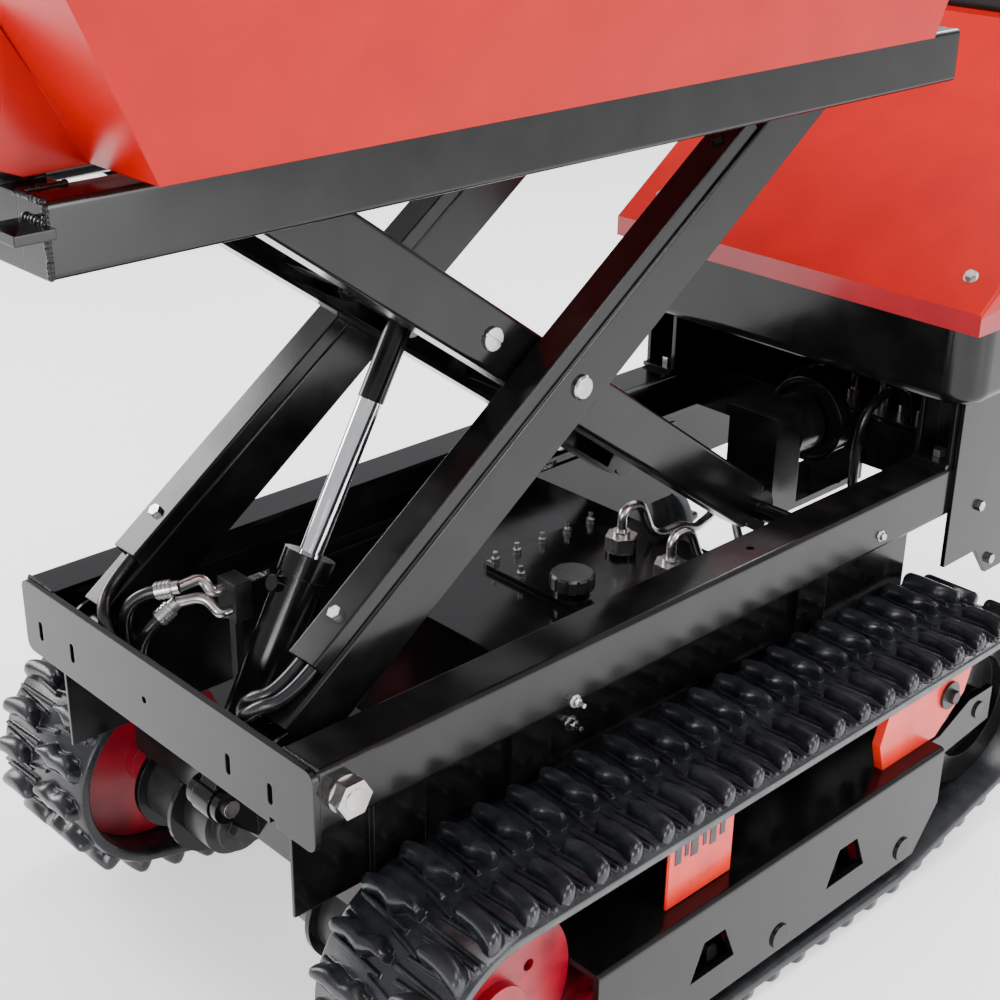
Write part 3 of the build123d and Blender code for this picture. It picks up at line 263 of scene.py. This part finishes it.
def bolt(name, spot, axis, across, height, body, skin=zinc, stem=0.0):
    """A chamfered hexagon head on its washer."""
    bm = bmesh.new()
    radius = across / math.sqrt(3)
    loops = []
    for z, r in ((0, radius), (height * 0.78, radius), (height, radius * 0.84)):
        loops.append([bm.verts.new((r * math.cos(math.pi * k / 3), r * math.sin(math.pi * k / 3), z))
                      for k in range(6)])
    for a, b in zip(loops, loops[1:]):
        for k in range(6):
            bm.faces.new((a[k], a[(k + 1) % 6], b[(k + 1) % 6], b[k]))
    bm.faces.new(loops[-1])
    bm.faces.new(loops[0][::-1])
    bmesh.ops.create_cone(bm, cap_ends=True, segments=28, radius1=across * 0.78, radius2=across * 0.74,
                          depth=height * 0.22, matrix=Matrix.Translation((0, 0, height * 0.05)))
    if stem:
        bmesh.ops.create_cone(bm, cap_ends=True, segments=20, radius1=across * 0.3, radius2=across * 0.26,
                              depth=stem, matrix=Matrix.Translation((0, 0, height + stem / 2)))
    turn = Vector((0, 0, 1)).rotation_difference(Vector(axis).normalized()).to_matrix().to_4x4()
    bmesh.ops.transform(bm, matrix=Matrix.Translation(spot) @ turn, verts=bm.verts)
    finish_mesh(name, bm, skin, body, angle=25)


# ---------------------------------------------------------------- rubber belts
# place along the machine, height and radius of each wheel that the belt runs round
WHEELS = ((145, 188, 110), (1011, 188, 110), (320, 73, 40), (820, 73, 40))
BELT_CENTRE = 313.0
BELT_THICKNESS = 15
BELT_SLICES = 480
PITCH_COUNT = 51
# the belt's section: place across it and height above its inner face
BELT_PROFILE = [(-90, 3), (-87, 0), (87, 0), (90, 3), (90, 12), (86, 15), (-86, 15), (-90, 12)]
# the inner guide lugs: place across the belt, then height, half length and half width of each level
GUIDE_PLACES = (-22, 22)
GUIDE_LEVELS = ((1, 10, 7), (-13, 8, 6), (-18, 5, 4))


def hull_line(extra, count, phase=0.0):
    """Evenly spaced places round the belt, each with its heading and outward direction, as (y, z)."""
    fine = []
    steps = 1440
    for i in range(steps):
        a = 2 * math.pi * i / steps
        n = Vector((math.cos(a), math.sin(a)))
        best = max(WHEELS, key=lambda w: w[0] * n.x + w[1] * n.y + w[2])
        fine.append(Vector((best[0], best[1])) + n * (best[2] + extra))
    spots = [p for i, p in enumerate(fine) if (p - fine[i - 1]).length > 1e-6]
    lengths = [(b - a).length for a, b in zip(spots, spots[1:] + spots[:1])]
    total = sum(lengths)
    out = []
    for k in range(count):
        want = ((k + phase) / count % 1.0) * total
        i = 0
        while want > lengths[i]:
            want -= lengths[i]
            i += 1
        a, b = spots[i], spots[(i + 1) % len(spots)]
        heading = (b - a).normalized()
        out.append((a + heading * want, heading, Vector((heading.y, -heading.x))))
    return out


# each lug's outline across the belt: place from its middle, start and end along the belt
OUTER_LUG = [(22, -3, 5), (30, -9, 8), (40, -13, 7), (52, -13, 8), (64, -11, 10), (74, -8, 13), (83, -3, 14),
             (86, 3, 11)]
INNER_LUG = [(4, -4, 3), (14, -7, 4), (22, -12, 3), (31, -12, 8), (40, -8, 12), (50, -11, 8), (60, -13, 6),
             (72, -10, 8), (83, -5, 9), (86, -1, 6)]
# height above the belt and share of the lug's full length at each level
LUG_STEPS = ((-1.0, 1.3), (4.0, 1.2), (9.0, 1.08), (13.0, 0.92), (16.0, 0.7), (17.6, 0.4), (18.0, 0.15))


def half_lug(bm, spot, heading, outward, side, centre_x, outline):
    """One domed cross lug on one half of the belt."""
    middle = sum(a + b for x, a, b in outline) / len(outline) / 2
    ends = (outline[0][0], outline[-1][0])
    rings = []
    for high, share in LUG_STEPS:
        ring = [(x, a) for x, a, b in outline] + [(x, b) for x, a, b in reversed(outline)]
        loop = []
        for x, y in ring:
            pull = (1.0 - min(share, 1.0)) * 8
            px = x + pull * (1 if x - ends[0] < 8 else -1 if ends[1] - x < 8 else 0)
            p = spot + heading * (middle + (y - middle) * share) + outward * high
            loop.append(bm.verts.new(at(centre_x + side * px, p.x, p.y)))
        rings.append(loop)
    count = len(rings[0])
    for a, b in zip(rings, rings[1:]):
        for k in range(count):
            bm.faces.new((a[k], a[(k + 1) % count], b[(k + 1) % count], b[k]))
    bm.faces.new(rings[-1])


def ridge(bm, spot, heading, outward, centre, x0, x1, skew):
    """A low moulded rib between two lugs."""
    corners = []
    for h, grow in ((-1, 3.2), (4.5, 1.4)):
        for x, y in ((x0 - grow, -grow), (x1 + grow, skew - grow), (x1 + grow, skew + grow), (x0 - grow, grow)):
            p = spot + heading * y + outward * h
            corners.append(bm.verts.new(at(centre + x, p.x, p.y)))
    bm.faces.new(corners[4:])
    for k in range(4):
        bm.faces.new((corners[k], corners[(k + 1) % 4], corners[4 + (k + 1) % 4], corners[4 + k]))


def belt(side):
    """One rubber belt with its outer lugs, ribs and inner guide lugs."""
    centre = BELT_CENTRE * side
    word = "left" if side > 0 else "right"
    bm = bmesh.new()
    loops = []
    for spot, heading, outward in hull_line(0, BELT_SLICES):
        loop = []
        for x, h in BELT_PROFILE:
            p = spot + outward * h
            loop.append(bm.verts.new(at(centre + x, p.x, p.y)))
        loops.append(loop)
    for i, a in enumerate(loops):
        b = loops[(i + 1) % len(loops)]
        for k in range(len(a)):
            bm.faces.new((a[k], a[(k + 1) % len(a)], b[(k + 1) % len(a)], b[k]))
    for spot, heading, outward in hull_line(BELT_THICKNESS, PITCH_COUNT):
        half_lug(bm, spot, heading, outward, side, centre, OUTER_LUG)
    for spot, heading, outward in hull_line(BELT_THICKNESS, PITCH_COUNT, 0.5):
        half_lug(bm, spot, heading, outward, -side, centre, INNER_LUG)
    for phase in (0.0, 0.25, 0.5, 0.75):
        for spot, heading, outward in hull_line(BELT_THICKNESS, PITCH_COUNT, phase):
            if phase == 0.0:
                ridge(bm, spot, heading, outward, centre, -20 * side, 20 * side, 8)
            elif phase == 0.5:
                ridge(bm, spot, heading, outward, centre, 6 * side, 84 * side, 3)
            else:
                ridge(bm, spot, heading, outward, centre, -80 * side, -10 * side, 6)
                ridge(bm, spot, heading, outward, centre, 14 * side, 80 * side, -4)
    for spot, heading, outward in hull_line(0, PITCH_COUNT):
        for x in GUIDE_PLACES:
            corners = []
            for h, half, wide in GUIDE_LEVELS:
                loop = []
                for a, b in ((-1, -1), (1, -1), (1, 1), (-1, 1)):
                    p = spot + heading * b * half + outward * h
                    loop.append(bm.verts.new(at(centre + x + a * wide, p.x, p.y)))
                corners.append(loop)
            for a, b in zip(corners, corners[1:]):
                for k in range(4):
                    bm.faces.new((a[k], a[(k + 1) % 4], b[(k + 1) % 4], b[k]))
            bm.faces.new(corners[-1])
    thing = finish_mesh(f"belt_{word}", bm, rubber, "chassis", angle=50)
    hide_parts(f"track_{word}")


belt(1)
belt(-1)

# ---------------------------------------------------------------- hoses
HOSE_RADIUS = 0.007
CENTRE = (428.24, 736.85)               # the scissor's centre pin, as (y, z)
ARM_TURN = math.radians(35.7)
REACH = (-483 + 77.5, 31 + 7 + 0.4)     # from the pin to where the hoses leave their covers, along the arm
foot = (CENTRE[0] + REACH[0] * math.cos(ARM_TURN) - REACH[1] * math.sin(ARM_TURN),
        CENTRE[1] + REACH[0] * math.sin(ARM_TURN) + REACH[1] * math.cos(ARM_TURN))
knee = (foot[0] - 40 * math.cos(ARM_TURN), foot[1] - 40 * math.sin(ARM_TURN))
END = 285.3                             # height of the hoses' lower ends
lift_routes = [
    [(151.5, *foot), (151.0, *knee), (130, 28, 500), (102, 34, 468), (88, 60, 416), (80, 118, 350),
     (80, 118, END)],
    [(168.5, *foot), (168.0, *knee), (148, 20, 500), (119, 17, 468), (110, 34, 410), (108, 118, 346),
     (108, 118, END)],
    [(-151.5, *foot), (-151.0, *knee), (-124, 17, 494), (-98, 16, 458), (-58, 22, 412), (-46, 118, 345),
     (-46, 118, END)]]
bm = bmesh.new()
for route in lift_routes:
    tube_mesh(bm, smooth_line([at(*p) for p in route]), HOSE_RADIUS)
hoses = finish_mesh("lift_hose_run", bm, hose_skin, None)
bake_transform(hoses)
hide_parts("lift_hoses")

pump_routes = [
    [(-90.2, 65.8, 517.93), (-117, 39, 509), (-114, 42, 430), (-118, 118, 352), (-118, 118, END)],
    [(-86.1, 63.7, 485.8), (-94.1, 37, 464.4), (-96, 52, 410), (-92, 118, 350), (-92, 118, END)]]
for x in (-20, 118):
    pump_routes.append([(x, 1165, 480.3), (x, 1165, 522), (x - 4, 1112, 540), (x - 14, 1064, 500),
                        (x - 16, 1072, 400)])
bm = bmesh.new()
for route in pump_routes:
    tube_mesh(bm, smooth_line([at(*p) for p in route]), HOSE_RADIUS)
pump_run = finish_mesh("pump_hose_run", bm, hose_skin, "chassis")
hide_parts("pump_hoses")

# ---------------------------------------------------------------- finishes of small parts
def near(node, skin, x, y, z, half):
    """Repaints the faces of a CAD node around a place on each side of the machine."""
    for side in (1, -1):
        spot = at(side * x, y, z)
        grow = Vector((half * MM,) * 3)
        repaint(node, skin, spot - grow, spot + grow)


near("hose_covers", zinc, 158, 113.8, 574.6, 9)
near("inner_crossbars", zinc, 138, 344.6, 797, 14)
near("track_guides", casting, 383, 925, 247, 20)
repaint("cowl", lip_red, Vector((-1, -1, 0.68)), Vector((1, 1, 0.7162)))
repaint("lift_rod", black, Vector((-1, -1, 0.702)), Vector((1, 1, 1)))
for side in (1, -1):
    ends = sorted((side * 0.12, side * 0.2645))
    repaint("frame_bolts", black, Vector((ends[0], -1, 0.43)), Vector((ends[1], -0.57, 0.49)))
repaint("valve_block", pipe_steel, Vector((-1, -1, 0.4805)), Vector((1, 1, 0.6)))
for x, y in ((-28, 508), (-28, 545), (-28, 590), (-28, 635), (-28, 678), (20, 505)):
    spot = at(x, y, 433)
    repaint("oil_tank", zinc, spot - Vector((0.007,) * 3), spot + Vector((0.007, 0.007, 0.009)))
repaint("oil_pipes", black, at(35, 617, 425.5), at(83, 665, 432.2))
repaint("oil_pipes", black, at(126, 605, 425.5), at(174, 653, 432.2))
repaint("oil_pipes", casting, at(-67, 127, 284), at(-33, 151, 525))
KNOB_HEIGHT = 0.034
for name in ("lever_drive_left", "lever_drive_right", "lever_lift", "lever_tip", "lever_throttle"):
    low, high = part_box(name)
    repaint(name, zinc, low, Vector((high.x, high.y, high.z - KNOB_HEIGHT)))
repaint("handlebars", plastic, at(-400, 1540, 1035), at(400, 1700, 1200))
nodes["pump"].data.materials[0] = black
slope = Vector((0, -0.7265, 1))         # square to the cowl's sloping face
bolt("cowl_bolt_left", at(255.8, 1048.6, 746.9), slope, 0.013, 0.007, "chassis")
bolt("cowl_bolt_right", at(-255.8, 1048.6, 746.9), slope, 0.013, 0.007, "chassis")
bolt("rail_stud_upper", at(265.2, 347.2, 426), (1, 0, 0), 0.01, 0.006, "chassis", stem=0.008)
bolt("rail_stud_rear", at(265.2, 900, 440), (1, 0, 0), 0.01, 0.006, "chassis")
for side in (1, -1):
    word = "left" if side > 0 else "right"
    bolt(f"plate_stud_{word}", at(side * 211.2, 398, 352), (side, 0, 0), 0.012, 0.008, "chassis", stem=0.01)
    bolt(f"stand_bolt_{word}", at(side * 252, 1090.4, 540), (0, 1, 0), 0.012, 0.006, "chassis", skin=black)

# welds of the upper frame and of the chassis corners
bm = bmesh.new()
for side in (1, -1):
    for z in (1024, 1033.2):
        beads(bm, at(side * 198, -190.6, z), at(side * 226, -190.6, z), 0.0035, 0.004)
    beads(bm, at(side * 226, -190, 992), at(side * 226, -190, 1045), 0.003, 0.0036)
    beads(bm, at(side * 186, -150, 1048.7), at(side * 186, -190, 1048.7), 0.003, 0.0036)
    beads(bm, at(side * 190, -189, 1048.7), at(side * 222, -189, 1048.7), 0.003, 0.0036)
    beads(bm, at(side * 225, 250, 1049), at(side * 225, 310, 1049), 0.003, 0.0036)
finish_mesh("upper_frame_welds", bm, black, "upper_frame", angle=80)
bm = bmesh.new()
for side in (1, -1):
    beads(bm, at(side * 262, 8.5, 424), at(side * 262, 8.5, 486), 0.0025, 0.0032)
    beads(bm, at(side * 212, 8.6, 490), at(side * 260, 8.6, 490), 0.0025, 0.0032)
    beads(bm, at(side * 262, 1112.5, 424), at(side * 262, 1112.5, 486), 0.0025, 0.0032)
    for x in (20, 24):
        beads(bm, at(side * x, 66, 281), at(side * x, 98, 287), 0.003, 0.0036)
finish_mesh("chassis_welds", bm, black, "chassis", angle=80)

# the orange marking plate beside the front of each track frame
for side in (1, -1):
    word = "left" if side > 0 else "right"
    bm = bmesh.new()
    bmesh.ops.create_cube(bm, size=1, matrix=Matrix.Translation(at(side * 374, 440, 245))
                          @ Matrix.Diagonal((0.004, 0.11, 0.103, 1)))
    bmesh.ops.bevel(bm, geom=bm.edges[:], offset=0.0012, segments=2, affect="EDGES")
    finish_mesh(f"marking_plate_{word}", bm, orange, "chassis")
    bm = bmesh.new()
    for k, (y, wide) in enumerate(((400, 10), (414, 6), (427, 12), (444, 6), (458, 10), (474, 8))):
        bmesh.ops.create_cube(bm, size=1, matrix=Matrix.Translation(at(side * 376.3, y, 262 + (k % 2) * 5))
                              @ Matrix.Diagonal((0.0008, wide * MM, 0.026, 1)))
    finish_mesh(f"marking_bars_{word}", bm, plastic, "chassis")

# raised rings of the crimped ferrules
bm = bmesh.new()
for start, end in (((-90, 66, 518), (-72, 84, 524)), ((-86, 64, 486), (-80, 84, 502))):
    a, b = at(*start), at(*end)
    run = (b - a).normalized()
    turn_to = Vector((0, 0, 1)).rotation_difference(run).to_matrix().to_4x4()
    for share in (0.12, 0.3, 0.48, 0.62):
        bmesh.ops.create_cone(bm, cap_ends=True, segments=24, radius1=0.0104, radius2=0.0104, depth=0.002,
                              matrix=Matrix.Translation(a.lerp(b, share)) @ turn_to)
finish_mesh("ferrule_rings", bm, zinc, "chassis", angle=40)

# ---------------------------------------------------------------- floor, light and camera
bpy.ops.mesh.primitive_plane_add(size=60, location=(0, 0, 0))
floor = bpy.context.object
floor.name = "floor"
floor.data.materials.append(floor_skin)
floor_shader = floor_skin.node_tree.nodes["Principled BSDF"]
floor_shader.inputs["Emission Color"].default_value = (1, 1, 1, 1)
floor_shader.inputs["Emission Strength"].default_value = 0.9


def softbox(name, spot, target, size, power):
    """A rectangular area lamp aimed at a target."""
    lamp = bpy.data.lights.new(name, "AREA")
    lamp.shape = "RECTANGLE"
    lamp.size, lamp.size_y = size
    lamp.energy = power
    thing = bpy.data.objects.new(name, lamp)
    thing.location = spot
    thing.rotation_euler = (Vector(target) - Vector(spot)).to_track_quat("-Z", "Y").to_euler()
    bpy.context.collection.objects.link(thing)


softbox("top", (0.4, -0.3, 3.4), (0, 0, 0.4), (2.2, 2.8), 150)
softbox("left", (-3.2, -1.4, 1.9), (0, -0.2, 0.5), (1.2, 2.2), 110)
softbox("right", (3.6, 0.9, 1.3), (0, 0.1, 0.5), (0.7, 2.4), 80)
softbox("front", (1.6, -3.8, 1.2), (0, 0, 0.5), (1.6, 0.9), 70)
softbox("back", (-0.6, 3.6, 2.6), (0, 0.2, 0.7), (3.0, 1.0), 110)
world = bpy.data.worlds.new("studio")
bpy.context.scene.world = world
world.use_nodes = True
world.node_tree.nodes["Background"].inputs["Color"].default_value = (0.95, 0.96, 1.0, 1)
world.node_tree.nodes["Background"].inputs["Strength"].default_value = 0.75

turn = math.radians(46.094)
tilt = math.radians(24.824)
roll = math.radians(0.863)
back = Vector((math.sin(turn) * math.cos(tilt), -math.cos(turn) * math.cos(tilt), math.sin(tilt)))
right = Vector((math.cos(turn), math.sin(turn), 0))
up = back.cross(right)
right_rolled = right * math.cos(roll) + up * math.sin(roll)
up_rolled = up * math.cos(roll) - right * math.sin(roll)
lens = bpy.data.cameras.new("camera")
lens.sensor_width = 36
lens.lens = 60.88
camera = bpy.data.objects.new("camera", lens)
bpy.context.collection.objects.link(camera)
place = Matrix((right_rolled, up_rolled, back)).transposed().to_4x4()
place.translation = Vector((1.3146, -1.4148, 1.370))
camera.matrix_world = place
bpy.context.scene.camera = camera
